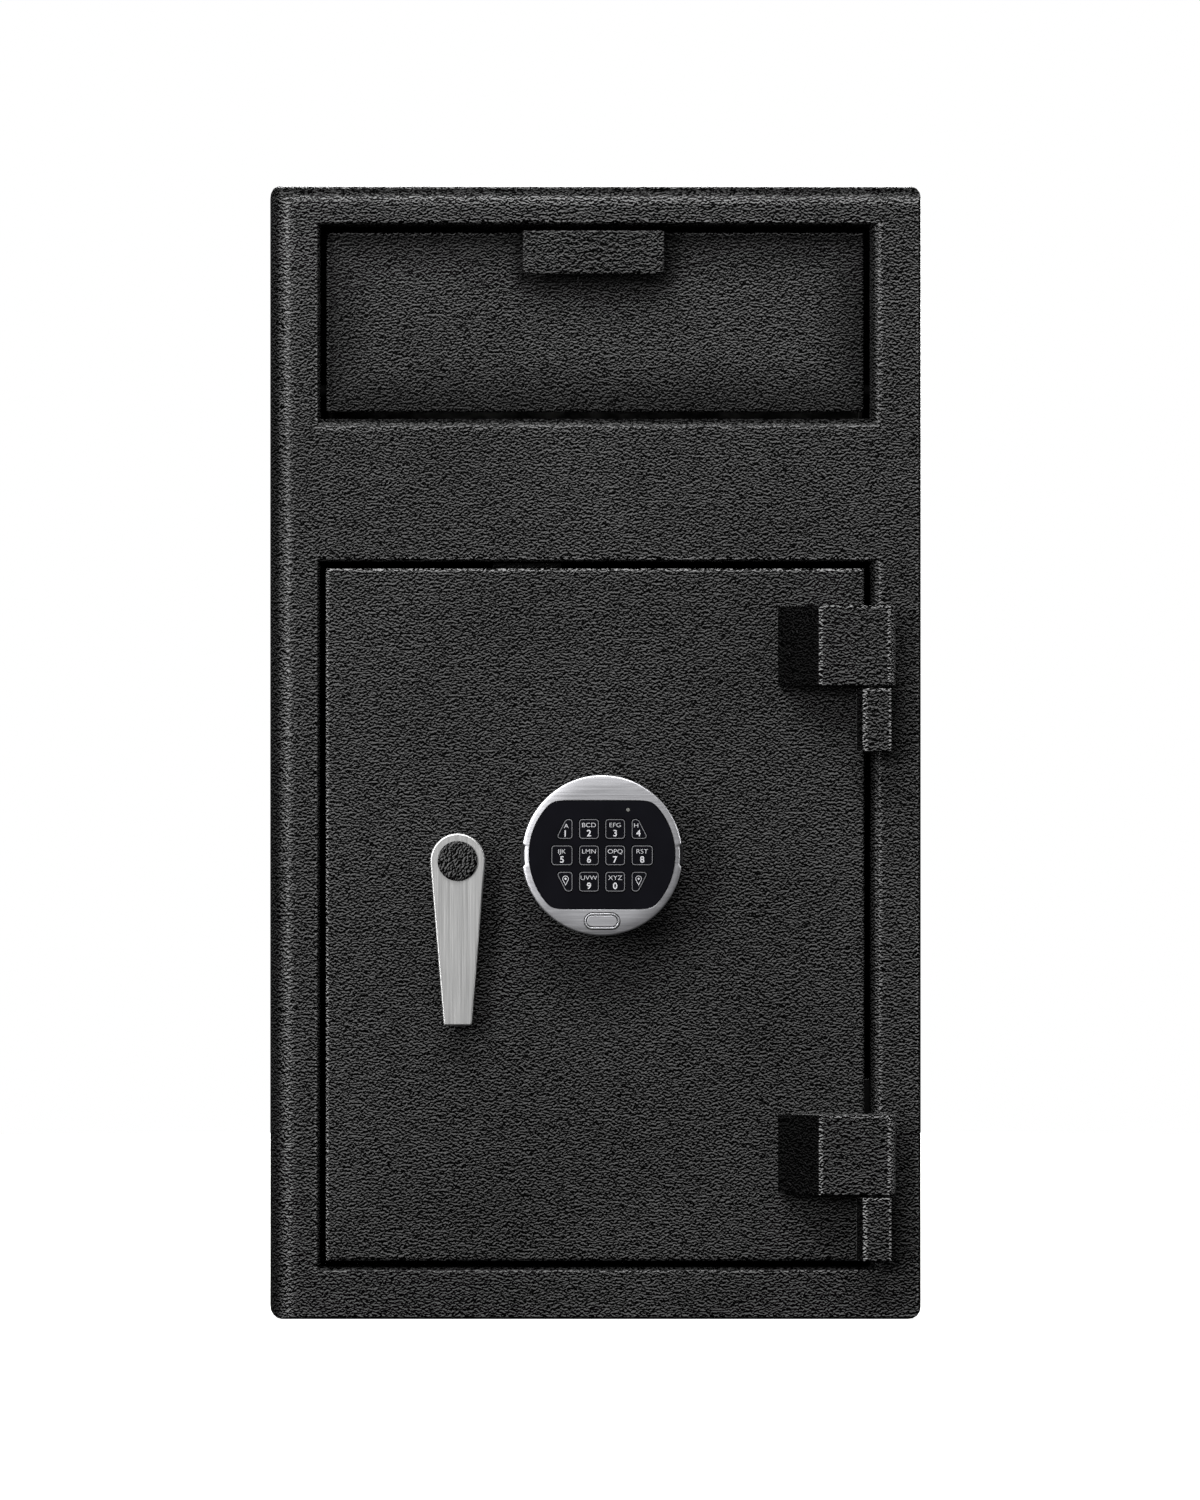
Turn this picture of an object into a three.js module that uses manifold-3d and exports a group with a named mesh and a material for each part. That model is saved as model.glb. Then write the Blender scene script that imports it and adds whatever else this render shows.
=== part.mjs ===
// A front-loading depository safe: a tilting deposit hopper above a hinged door with an electronic lock.
// Millimetres. The origin is the centre of the base, +X is to the right, +Y to the back and +Z up.
import * as THREE from "three";
import { mergeVertices } from "three/addons/utils/BufferGeometryUtils.js";
import Module from "manifold-3d";

const wasm = await Module();
wasm.setup();

// ---------- Driving dimensions ----------

const GAP = 0.3; // clearance between two pieces that touch
const CUT = 1; // how far a cutting solid runs past the face it opens

// Body
const WIDTH = 381;
const HEIGHT = 663.5;
const DEPTH = 406;
const SHEET = 3; // body sheet
const FACE_Y = -DEPTH / 2; // plane of the front face
const BACK_Y = DEPTH / 2;
const CORNER_R = 7.4; // corners of the outline seen from the front
const LEFT_BEND_R = 16;
const TOP_BEND_R = 13.5;
const TIGHT_BEND_R = 3.4; // right and bottom edges
const FRAME_DEPTH = 34; // how far the front frame's sides reach back
const OPENING_HALF_W = 161.2;
const WIDE_BEND_R = 8; // the openings' broader bends
const DOOR_OPENING_BENDS = {
  left: TIGHT_BEND_R,
  right: WIDE_BEND_R,
  bottom: TIGHT_BEND_R,
  top: TIGHT_BEND_R,
};
const HOPPER_OPENING_BENDS = { ...DOOR_OPENING_BENDS, bottom: WIDE_BEND_R };
const ANCHOR_R = 6.5;
const ANCHOR_X = 130;
const ANCHOR_Y = 120;

// Door and its opening
const DOOR_OPENING_Z = [29.9, 443.1];
const DOOR_FLANGE = 22; // depth of the flange round the door opening
const DOOR_HALF_W = 157.4;
const DOOR_Z = [34, 439];
const DOOR_T = 12.7;
const DOOR_EDGE_R = 2.5;
const DOOR_REAR_Y = FACE_Y + DOOR_T;
const DOOR_STOP = { x: -40, width: 40, overlap: 10 };

// Hinges: vertical axis in front of the face, at the right edge of the door
const HINGE_X = 162.7;
const HINGE_Y = FACE_Y - 14;
const HINGE_PIN_R = 4;
const LEAF_PROUD = 8; // front plane of the blocks, ahead of the axis
const LEAF_H = 46.4;
const KNUCKLE_H = 36.5;
const HINGE_PLACES = { upper: 370.6, lower: 73.9 }; // height of each leaf's underside
const WASHER_R = 6;
const WASHER_T = 1.3;
const PIN_REACH = 32.5; // of the hinge pin into the leaf

// Hopper: horizontal axis close to its lower edge
const HOPPER_OPENING_Z = [526.7, 640.1];
const HOPPER_FLANGE = 28;
const HOPPER_Z = [531.1, 636];
const HOPPER_RECESS = 12; // hopper plate behind the front face
const PIVOT_Y = FACE_Y + 21.5;
const PIVOT_Z = 543;
const PIVOT_R = 4;
const PIVOT_HEAD_R = 7;
const PIVOT_HEAD_T = 3.7;
const THIN = 2; // inner sheet parts
const TRAY_SLOPE = 30; // degrees, falling to the back when the hopper is shut
const TRAY_REACH = 78; // from the axis to the tray's rear edge
const HOPPER_SIDE_R = 93;
const HOPPER_SIDE_X = 157.2; // outer face of the hopper's side plates
const TAB = { left: -42.2, right: 40.4, bottom: 611, top: 636.4, proud: 16, cornerR: 3.5 };

// Handle
const HANDLE_X = -80.1;
const HANDLE_Z = 268.2;
const HUB_R = 16.1;
const LEVER_REACH = 95.9;
const LEVER_TIP_HALF_W = 8.2;
const LEVER_T = 9.7;
const LEVER_STANDOFF = 6.3; // back of the lever from the door face
const CAP_R = 11.75;
const SPINDLE_R = 6;

// Bolt work behind the door
const BOLT_R = 9;
const BOLT_Y = FACE_Y + 34; // centre line of the bolts
const BOLT_HEIGHTS = { upper: 365, middle: 225, lower: 105 };
const BOLT_TIP_X = -153; // retracted
const BOLT_INNER_X = -82;
const BOLT_THROW = 20;
const CARRIAGE_X = [-124, -114];
const CARRIAGE_Y = [FACE_Y + 24, FACE_Y + 42];
const CARRIAGE_Z = [92, 380];
const ARM_Y = [FACE_Y + 24, FACE_Y + 29];
const ARM_Z = [243, 276];
const ARM_CLEARANCE = 7;
const RAIL_TOP = 253; // the arm's long rail that reaches the lock
const GUIDE_Z = [90, 382];
const GUIDE_OUTER_X = [-150, -146];
const GUIDE_INNER_X = [-109, -105];
const GUIDE_DEPTH = 12; // past the bolts' centre line
const DEAD_BOLT = { x: 100, step: 148, tip: 172, thickness: 12, height: 50 };
const DEAD_BOLT_HEIGHTS = { upper: 355, lower: 115 };
const CAM_R = 18;
const CAM_Y = [FACE_Y + 16.5, FACE_Y + 21.5];
const DRIVE_PIN_R = 3;
const DRIVE_SLACK = 0.75; // slot side clearance round the drive pin

// Lock
const LOCK_X = [-38, 47];
const LOCK_Z = [266, 326];
const LOCK_Y = [FACE_Y + 16.3, FACE_Y + 42];
const LOCK_WALL = 2.5;
const LOCK_BOLT = { x: -15, y: FACE_Y + 27, width: 12, thickness: 8, length: 34, solenoidR: 8 };
const LUG_OFFSET = 10; // lug on the carriage from the lock bolt's centre, at either end of the throw
const LUG_W = 5;
const LUG_H = 10;

// Keypad
const KEYPAD_X = 4.1;
const KEYPAD_Z = 271.7;
const BEZEL_R = 46.65;
const KEYPAD_FRONT = 33; // front of the bezel from the door face
const FACE_R = 42.6;
const FACE_TOP = 31.9;
const FACE_BOTTOM = -31.5;
const KEY_PITCH = 15.3;
const KEY_H = 11.4;
const KEY_PROUD = 0.8;
const CABLE_Z = 28.3; // cable passage above the keypad's centre
const BADGE = { z: -38.2, halfW: 10, halfH: 4.3 };
const BATTERY = { width: 48, height: 26, depth: 16 };
const LED = { x: 15.1, z: 26.4, r: 1.1 };

// ---------- Materials ----------

const paint = { color: 0x242424, roughness: 0.62, metalness: 0.2 };
const steel = { color: 0x8c8c8c, roughness: 0.35, metalness: 1 };
const satin = { color: 0xb5b5b3, roughness: 0.3, metalness: 1 };
const zinc = { color: 0x9a9c98, roughness: 0.45, metalness: 1 };
const blackPlastic = { color: 0x0d0d0e, roughness: 0.4, metalness: 0 };
const gloss = { color: 0x08090a, roughness: 0.12, metalness: 0 };
const keyPlastic = { color: 0x111214, roughness: 0.25, metalness: 0 };
const lens = { color: 0x55504e, roughness: 0.15, metalness: 0 };

// ---------- Geometry helpers ----------

// A closed outline through corners [x, y, fillet radius], with each fillet a true arc.
function outline(corners, arcStepDeg = 22.5) {
  const points = [];
  const add = (p) => {
    if (!points.length || points.at(-1).distanceTo(p) > 1e-4) points.push(p);
  };
  corners.forEach(([x, y, radius = 0], i) => {
    const corner = new THREE.Vector2(x, y);
    if (radius === 0) {
      add(corner);
      return;
    }
    const towards = ([toX, toY]) => new THREE.Vector2(toX, toY).sub(corner).normalize();
    const before = towards(corners.at(i - 1));
    const after = towards(corners[(i + 1) % corners.length]);
    const half = Math.acos(before.dot(after)) / 2;
    const sweep = Math.PI - 2 * half;
    const turn = before.cross(after) < 0 ? 1 : -1;
    const bisector = before.clone().add(after).normalize();
    const centre = bisector.multiplyScalar(radius / Math.sin(half)).add(corner);
    const start = before.clone().multiplyScalar(radius / Math.tan(half)).add(corner).sub(centre);
    const steps = Math.max(1, Math.round(THREE.MathUtils.radToDeg(sweep) / arcStepDeg));
    for (let k = 0; k <= steps; k++) {
      const spoke = start.clone().rotateAround(new THREE.Vector2(), (turn * sweep * k) / steps);
      add(spoke.add(centre));
    }
  });
  return new THREE.Shape(points);
}

function rectangle(x0, x1, y0, y1, radius = 0) {
  return outline([[x0, y0, radius], [x1, y0, radius], [x1, y1, radius], [x0, y1, radius]]);
}

function circle(x, y, radius, segments = 16) {
  const points = [];
  for (let k = 0; k < segments; k++) {
    const angle = (2 * Math.PI * k) / segments;
    points.push(new THREE.Vector2(x + radius * Math.cos(angle), y + radius * Math.sin(angle)));
  }
  return new THREE.Shape(points);
}

// The section of a sheet of one thickness folded along a line of points; the sheet lies left of the line.
function bentSheet(line, thickness) {
  const points = line.map(([x, y]) => new THREE.Vector2(x, y));
  const normals = points.slice(1).map((p, i) => {
    const along = p.clone().sub(points[i]).normalize();
    return new THREE.Vector2(-along.y, along.x);
  });
  const offset = points.map((p, i) => {
    const a = normals[Math.max(i - 1, 0)];
    const b = normals[Math.min(i, normals.length - 1)];
    const mitre = a.clone().add(b).normalize();
    return mitre.multiplyScalar(thickness / mitre.dot(a)).add(p);
  });
  return new THREE.Shape([...points, ...offset.reverse()]);
}

function extrudeZ(shape, z0, z1) {
  return new THREE.ExtrudeGeometry(shape, { depth: z1 - z0, bevelEnabled: false }).translate(0, 0, z0);
}

// The shape's axes become X and Z.
function extrudeY(shape, y0, y1) {
  return extrudeZ(shape, 0, y1 - y0).rotateX(Math.PI / 2).translate(0, y1, 0);
}

// The shape's axes become Y and Z.
function extrudeX(shape, x0, x1) {
  const toX = new THREE.Matrix4().makeBasis(
    new THREE.Vector3(0, 1, 0),
    new THREE.Vector3(0, 0, 1),
    new THREE.Vector3(1, 0, 0),
  );
  return extrudeZ(shape, 0, x1 - x0).applyMatrix4(toX).translate(x0, 0, 0);
}

// The interval between two distances from the middle, on the side that the sign says.
function onSide(sign, near, far) {
  return sign > 0 ? [near, far] : [-far, -near];
}

// The interval of a given width about a centre.
function about(centre, width) {
  return [centre - width / 2, centre + width / 2];
}

function box([x0, x1], [y0, y1], [z0, z1]) {
  return new THREE.BoxGeometry(x1 - x0, y1 - y0, z1 - z0)
    .translate((x0 + x1) / 2, (y0 + y1) / 2, (z0 + z1) / 2);
}

// A turned piece about Y at (x, z). The profile is a list of [radius, y] that closes on itself or the axis.
function turnedY(profile, x = 0, z = 0, segments = 32) {
  const points = profile.map(([r, y]) => new THREE.Vector2(r, y));
  if (THREE.ShapeUtils.area(points) < 0) points.reverse();
  if (points.some((p) => p.x === 0)) {
    while (points[0].x !== 0 || points.at(-1).x !== 0) points.push(points.shift());
  } else {
    points.push(points[0].clone());
  }
  return new THREE.LatheGeometry(points, segments).translate(x, 0, z);
}

// A closed geometry as a manifold-3d solid, without the flat triangles that meet on a lathe's axis.
function solid(geometry) {
  const bare = geometry.clone();
  bare.deleteAttribute("normal");
  bare.deleteAttribute("uv");
  const merged = mergeVertices(bare, 1e-4);
  const index = merged.index.array;
  const triVerts = [];
  for (let i = 0; i < index.length; i += 3) {
    const [a, b, c] = index.subarray(i, i + 3);
    if (a !== b && b !== c && c !== a) triVerts.push(a, b, c);
  }
  return new wasm.Manifold(new wasm.Mesh({
    numProp: 3,
    vertProperties: new Float32Array(merged.attributes.position.array),
    triVerts: new Uint32Array(triVerts),
  }));
}

function subtract(base, ...cutters) {
  return cutters.reduce((rest, cutter) => rest.subtract(asSolid(cutter)), asSolid(base));
}

function join(...pieces) {
  return pieces.map(asSolid).reduce((all, piece) => all.add(piece));
}

function intersect(...pieces) {
  return pieces.map(asSolid).reduce((all, piece) => all.intersect(piece));
}

function asSolid(piece) {
  return piece.isBufferGeometry ? solid(piece) : piece;
}

function asGeometry(piece) {
  const { vertProperties, triVerts } = asSolid(piece).getMesh();
  const indexed = new THREE.BufferGeometry();
  indexed.setAttribute("position", new THREE.BufferAttribute(vertProperties, 3));
  indexed.setIndex(new THREE.BufferAttribute(triVerts, 1));
  const flat = indexed.toNonIndexed();
  flat.computeVertexNormals();
  return flat;
}

function add(group, name, piece, look) {
  const mesh = new THREE.Mesh(asGeometry(piece), new THREE.MeshStandardMaterial(look));
  mesh.name = name;
  group.add(mesh);
}

// A row of pointed teeth along X, as the outline of the strip that is cut away below them.
function toothGaps(halfWidth, tipY, rootY, pitch) {
  const count = Math.floor((2 * halfWidth) / pitch);
  const start = (-count * pitch) / 2;
  const points = [
    new THREE.Vector2(-halfWidth - CUT, tipY - CUT),
    new THREE.Vector2(-halfWidth - CUT, tipY),
  ];
  for (let k = 0; k < count; k++) {
    points.push(new THREE.Vector2(start + k * pitch, tipY));
    points.push(new THREE.Vector2(start + (k + 0.5) * pitch, rootY));
  }
  points.push(new THREE.Vector2(start + count * pitch, tipY));
  points.push(new THREE.Vector2(halfWidth + CUT, tipY), new THREE.Vector2(halfWidth + CUT, tipY - CUT));
  return new THREE.Shape(points);
}

// ---------- Body ----------

// The block bounded by the front frame's bent edges, shrunk by an inset on every visible side.
function frameBlock(inset, backY) {
  const half = WIDTH / 2 - inset;
  const face = FACE_Y + inset;
  const top = HEIGHT - inset;
  const plan = outline([
    [-half, backY],
    [-half, face, LEFT_BEND_R - inset],
    [half, face, TIGHT_BEND_R - inset],
    [half, backY],
  ], 15);
  const side = outline([
    [backY, inset],
    [face, inset, TIGHT_BEND_R - inset],
    [face, top, TOP_BEND_R - inset],
    [backY, top],
  ], 15);
  return intersect(
    extrudeZ(plan, -CUT, HEIGHT + CUT),
    extrudeX(side, -WIDTH, WIDTH),
    extrudeY(rectangle(-half, half, inset, top, CORNER_R - inset), face - CUT, backY + CUT),
  );
}

// The space inside an opening whose edges flare out to the front, each on a bend of its own radius.
function flaredOpening(halfWidth, [z0, z1], bends, frontY, backY) {
  const reach = 3 * WIDE_BEND_R;
  const flare = (low, high, lowBend, highBend, toPoint) => outline([
    toPoint(low - lowBend, frontY - CUT),
    toPoint(low - lowBend, frontY),
    [...toPoint(low, frontY), lowBend],
    toPoint(low, backY),
    toPoint(high, backY),
    [...toPoint(high, frontY), highBend],
    toPoint(high + highBend, frontY),
    toPoint(high + highBend, frontY - CUT),
  ]);
  const plan = flare(-halfWidth, halfWidth, bends.left, bends.right, (u, y) => [u, y]);
  const side = flare(z0, z1, bends.bottom, bends.top, (u, y) => [y, u]);
  return intersect(
    extrudeZ(plan, z0 - reach, z1 + reach),
    extrudeX(side, -halfWidth - reach, halfWidth + reach),
  );
}

function frontFrame() {
  const openings = [
    { z: DOOR_OPENING_Z, depth: DOOR_FLANGE, bends: DOOR_OPENING_BENDS },
    { z: HOPPER_OPENING_Z, depth: HOPPER_FLANGE, bends: HOPPER_OPENING_BENDS },
  ];
  const shell = subtract(
    frameBlock(0, FACE_Y + FRAME_DEPTH),
    frameBlock(SHEET, FACE_Y + FRAME_DEPTH + CUT),
  );
  // The hidden side of each flange is one sheet thickness outside the visible side.
  const hiddenBends = (bends) => Object.fromEntries(
    Object.entries(bends).map(([edge, radius]) => [edge, radius - SHEET]),
  );
  const flanges = openings.map(({ z, depth, bends }) => intersect(
    flaredOpening(
      OPENING_HALF_W + SHEET,
      [z[0] - SHEET, z[1] + SHEET],
      hiddenBends(bends),
      FACE_Y + SHEET,
      FACE_Y + depth,
    ),
    box([-WIDTH, WIDTH], [FACE_Y + SHEET / 2, BACK_Y], [0, HEIGHT]),
  ));
  const holes = openings.map(({ z, depth, bends }) => (
    flaredOpening(OPENING_HALF_W, z, bends, FACE_Y, FACE_Y + depth + CUT)
  ));
  const pivotHole = extrudeX(
    circle(PIVOT_Y, PIVOT_Z, PIVOT_R + GAP),
    -OPENING_HALF_W - SHEET - CUT,
    OPENING_HALF_W + SHEET + CUT,
  );
  return subtract(join(shell, ...flanges), ...holes, pivotHole);
}

function bodyWrap() {
  const front = FACE_Y + FRAME_DEPTH + GAP;
  const section = rectangle(-WIDTH / 2, WIDTH / 2, 0, HEIGHT, CORNER_R);
  section.holes.push(
    rectangle(-WIDTH / 2 + SHEET, WIDTH / 2 - SHEET, SHEET, HEIGHT - SHEET, CORNER_R - SHEET),
  );
  const anchors = [-1, 1].flatMap((sx) => [-1, 1].map((sy) => (
    extrudeZ(circle(sx * ANCHOR_X, sy * ANCHOR_Y, ANCHOR_R), -CUT, SHEET + CUT)
  )));
  return subtract(extrudeY(section, front, BACK_Y), ...anchors);
}

function makeBody() {
  const body = new THREE.Group();
  const inset = SHEET + GAP;
  add(body, "front_frame", frontFrame(), paint);
  add(body, "body_wrap", bodyWrap(), paint);
  add(body, "back_panel", extrudeY(
    rectangle(-WIDTH / 2 + inset, WIDTH / 2 - inset, inset, HEIGHT - inset, CORNER_R - SHEET),
    BACK_Y - SHEET,
    BACK_Y,
  ), paint);

  for (const [place, leafZ] of Object.entries(HINGE_PLACES)) {
    const knuckleTop = leafZ - WASHER_T - 2 * GAP;
    const knuckleZ = knuckleTop - KNUCKLE_H;
    const section = knuckleSection();
    section.holes.push(circle(HINGE_X, HINGE_Y, HINGE_PIN_R + GAP));
    add(body, `hinge_knuckle_${place}`, extrudeZ(section, knuckleZ, knuckleTop), paint);
    const washer = circle(HINGE_X, HINGE_Y, WASHER_R);
    washer.holes.push(circle(HINGE_X, HINGE_Y, HINGE_PIN_R + GAP));
    add(body, `hinge_washer_${place}`, extrudeZ(washer, knuckleTop + GAP, leafZ - GAP), steel);
    const pin = circle(HINGE_X, HINGE_Y, HINGE_PIN_R);
    add(body, `hinge_pin_${place}`, extrudeZ(pin, knuckleZ + 2, leafZ + PIN_REACH), steel);
  }

  // A stop block behind the door's top edge, under the flange.
  add(body, "door_stop", box(
    about(DOOR_STOP.x, DOOR_STOP.width),
    [DOOR_REAR_Y + GAP, FACE_Y + DOOR_FLANGE],
    [DOOR_Z[1] - DOOR_STOP.overlap, DOOR_OPENING_Z[1] - GAP],
  ), paint);
  body.add(makeChute());
  return body;
}

// The frame's half of a hinge, round on the side that the door's edge passes.
function knuckleSection() {
  const roundR = 10.4;
  const foot = FACE_Y - GAP - HINGE_Y;
  const arc = [];
  for (let deg = 100; deg <= 205; deg += 15) {
    const angle = THREE.MathUtils.degToRad(deg);
    arc.push([roundR * Math.cos(angle), roundR * Math.sin(angle)]);
  }
  const corners = [[9.9, foot], [-1.3, foot], ...arc, [-6.8, -LEAF_PROUD], [9.9, -LEAF_PROUD, 1]];
  return outline(corners.map(([x, y, r]) => [HINGE_X + x, HINGE_Y + y, r]));
}

// The fixed sheet parts round the hopper: side cheeks, rear baffle and the floor that sheds the deposit.
function makeChute() {
  const chute = new THREE.Group();
  const frontY = FACE_Y + HOPPER_FLANGE + 2 * GAP;
  const ceiling = HEIGHT - SHEET - GAP;
  const halfWidth = OPENING_HALF_W + SHEET;
  const floorFront = 500;
  const floorRear = [-10, 417];
  const baffle = { y: -84, bottom: 571, lip: 24 };
  const tooth = { pitch: 20, depth: 10 };
  const cheek = outline([
    [frontY, floorFront - 6],
    [floorRear[0], floorRear[1] - 6],
    [floorRear[0], 470],
    [baffle.y + baffle.lip + THIN, baffle.bottom],
    [baffle.y + baffle.lip + THIN, ceiling],
    [frontY, ceiling],
  ]);
  for (const [side, sign] of [["left", -1], ["right", 1]]) {
    const inner = halfWidth + GAP;
    add(chute, `hopper_cheek_${side}`, extrudeX(cheek, ...onSide(sign, inner, inner + THIN)), zinc);
    // A headed stud through the flange and the hopper's side plate.
    const head = onSide(sign, inner, inner + PIVOT_HEAD_T);
    const shank = onSide(sign, HOPPER_SIDE_X - THIN, inner + CUT);
    add(chute, `hopper_pivot_${side}`, join(
      extrudeX(circle(PIVOT_Y, PIVOT_Z, PIVOT_R), ...shank),
      extrudeX(circle(PIVOT_Y, PIVOT_Z, PIVOT_HEAD_R), ...head),
    ), steel);
  }
  add(chute, "hopper_rear_baffle", subtract(
    extrudeX(bentSheet([
      [baffle.y + baffle.lip, ceiling],
      [baffle.y, ceiling],
      [baffle.y, baffle.bottom],
    ], THIN), -halfWidth, halfWidth),
    extrudeY(
      toothGaps(halfWidth, baffle.bottom, baffle.bottom + tooth.depth, tooth.pitch),
      baffle.y - CUT,
      baffle.y + THIN + CUT,
    ),
  ), zinc);
  add(chute, "chute_floor", subtract(
    extrudeX(bentSheet([
      [frontY, floorFront + 20],
      [frontY, floorFront],
      floorRear,
    ], THIN), -halfWidth, halfWidth),
    extrudeZ(
      toothGaps(halfWidth, -floorRear[0] - THIN, -floorRear[0] + tooth.depth, tooth.pitch),
      floorRear[1] - 20,
      floorRear[1] + 20,
    ).rotateZ(Math.PI),
  ), zinc);
  return chute;
}

// ---------- Hopper, built about its own axis ----------

function makeHopper() {
  const hopper = new THREE.Group();
  hopper.position.set(0, PIVOT_Y, PIVOT_Z);
  const plateFront = FACE_Y + HOPPER_RECESS - PIVOT_Y;
  const plateRear = plateFront + SHEET;
  const bottom = HOPPER_Z[0] - PIVOT_Z;
  const top = HOPPER_Z[1] - PIVOT_Z;
  const insideY = plateRear + GAP;
  const slope = THREE.MathUtils.degToRad(TRAY_SLOPE);

  const plate = outline([
    [plateRear, bottom],
    [plateRear, top],
    [plateFront, top, 1],
    [plateFront, bottom, 1],
  ]);
  add(hopper, "hopper_front", extrudeX(plate, -DOOR_HALF_W, DOOR_HALF_W), paint);

  const lipY = plateFront - TAB.proud;
  const tabLine = [
    [plateFront - GAP, TAB.top - PIVOT_Z],
    [lipY, TAB.top - PIVOT_Z],
    [lipY, TAB.bottom - PIVOT_Z],
  ];
  add(hopper, "hopper_handle", intersect(
    extrudeX(bentSheet(tabLine, SHEET), TAB.left, TAB.right),
    extrudeY(outline([
      [TAB.left, TAB.bottom - PIVOT_Z, TAB.cornerR],
      [TAB.right, TAB.bottom - PIVOT_Z, TAB.cornerR],
      [TAB.right, top + CUT],
      [TAB.left, top + CUT],
    ]), lipY - CUT, plateFront + CUT),
  ), paint);

  const floorStart = 3;
  const tray = bentSheet([
    [insideY, 24],
    [insideY, floorStart],
    [TRAY_REACH, floorStart - (TRAY_REACH - insideY) * Math.tan(slope)],
  ], THIN);
  const sideInner = HOPPER_SIDE_X - THIN;
  add(hopper, "hopper_tray", extrudeX(tray, -sideInner + GAP, sideInner - GAP), zinc);

  // Each side plate is a fan about the axis, from the front plate round to the tray's rear edge.
  const fan = [new THREE.Vector2(insideY, -5), new THREE.Vector2(insideY, HOPPER_SIDE_R)];
  for (let deg = 84; deg >= -TRAY_SLOPE - 4; deg -= 13) {
    const angle = THREE.MathUtils.degToRad(deg);
    fan.push(new THREE.Vector2(HOPPER_SIDE_R * Math.cos(angle), HOPPER_SIDE_R * Math.sin(angle)));
  }
  const fanPlate = new THREE.Shape(fan.reverse());
  fanPlate.holes.push(circle(0, 0, PIVOT_R + GAP));
  add(hopper, "hopper_side_left", extrudeX(fanPlate, -HOPPER_SIDE_X, -sideInner), zinc);
  add(hopper, "hopper_side_right", extrudeX(fanPlate, sideInner, HOPPER_SIDE_X), zinc);
  return hopper;
}

// ---------- Door ----------

function makeDoor() {
  const door = new THREE.Group();
  const rear = DOOR_REAR_Y + GAP;
  const keypadCable = [KEYPAD_X, KEYPAD_Z + CABLE_Z];

  const edge = DOOR_EDGE_R;
  const plan = outline([
    [-DOOR_HALF_W, FACE_Y, edge],
    [DOOR_HALF_W, FACE_Y, edge],
    [DOOR_HALF_W, DOOR_REAR_Y],
    [-DOOR_HALF_W, DOOR_REAR_Y],
  ]);
  const side = outline([
    [FACE_Y, DOOR_Z[0], edge],
    [FACE_Y, DOOR_Z[1], edge],
    [DOOR_REAR_Y, DOOR_Z[1]],
    [DOOR_REAR_Y, DOOR_Z[0]],
  ]);
  add(door, "door_plate", subtract(
    intersect(extrudeZ(plan, 0, HEIGHT), extrudeX(side, -WIDTH, WIDTH)),
    extrudeY(circle(HANDLE_X, HANDLE_Z, 9 + GAP), FACE_Y - CUT, DOOR_REAR_Y + CUT),
    extrudeY(circle(...keypadCable, 4), FACE_Y - CUT, DOOR_REAR_Y + CUT),
  ), paint);

  for (const [place, z] of Object.entries(HINGE_PLACES)) {
    add(door, `hinge_leaf_${place}`, subtract(
      extrudeZ(leafSection(), z, z + LEAF_H),
      extrudeZ(circle(HINGE_X, HINGE_Y, HINGE_PIN_R + GAP), z - CUT, z + PIN_REACH + 2),
    ), paint);
  }

  // Two angle guides hold the bolts; the inner one is notched for the carriage's arm.
  const footY = [rear, rear + SHEET];
  const webY = [rear, BOLT_Y + GUIDE_DEPTH];
  add(door, "bolt_guide_outer", subtract(
    join(
      box(GUIDE_OUTER_X, webY, GUIDE_Z),
      box([GUIDE_OUTER_X[0] + CUT, GUIDE_OUTER_X[1] + 14], footY, GUIDE_Z),
    ),
    ...boltHoles(GUIDE_OUTER_X),
  ), zinc);
  add(door, "bolt_guide_inner", subtract(
    join(
      box(GUIDE_INNER_X, webY, GUIDE_Z),
      box([GUIDE_INNER_X[0] - 10, GUIDE_INNER_X[1] - CUT], footY, GUIDE_Z),
    ),
    box(
      [GUIDE_INNER_X[0] - CUT, GUIDE_INNER_X[1] + CUT],
      [ARM_Y[0] - 2, BACK_Y],
      [ARM_Z[0] - ARM_CLEARANCE, ARM_Z[1] + ARM_CLEARANCE],
    ),
    ...boltHoles(GUIDE_INNER_X),
  ), zinc);

  // Fixed bolts on the hinge side reach behind the frame and hold the door if the hinges are cut off.
  const tongueY = BOLT_Y - BOLT_R;
  const { x, step, tip, thickness, height } = DEAD_BOLT;
  const deadBolt = outline([
    [x, rear],
    [step, rear],
    [step, tongueY],
    [tip, tongueY],
    [tip, tongueY + thickness],
    [x, tongueY + thickness],
  ]);
  for (const [place, z] of Object.entries(DEAD_BOLT_HEIGHTS)) {
    add(door, `dead_bolt_${place}`, extrudeZ(deadBolt, ...about(z, height)), steel);
  }

  add(door, "hard_plate", subtract(
    box([LOCK_X[0] - 4, LOCK_X[1] + 4], footY, [LOCK_Z[0] - 2, LOCK_Z[1] + 6]),
    extrudeY(circle(...keypadCable, 4), rear - CUT, rear + SHEET + CUT),
  ), steel);
  door.add(makeLock(), makeKeypad());

  add(door, "handle_bushing", turnedY([
    [SPINDLE_R + GAP, FACE_Y - LEVER_STANDOFF + GAP],
    [13, FACE_Y - LEVER_STANDOFF + GAP],
    [13, FACE_Y - GAP],
    [9, FACE_Y - GAP],
    [9, DOOR_REAR_Y],
    [SPINDLE_R + GAP, DOOR_REAR_Y],
  ], HANDLE_X, HANDLE_Z, 16), steel);
  return door;
}

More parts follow.
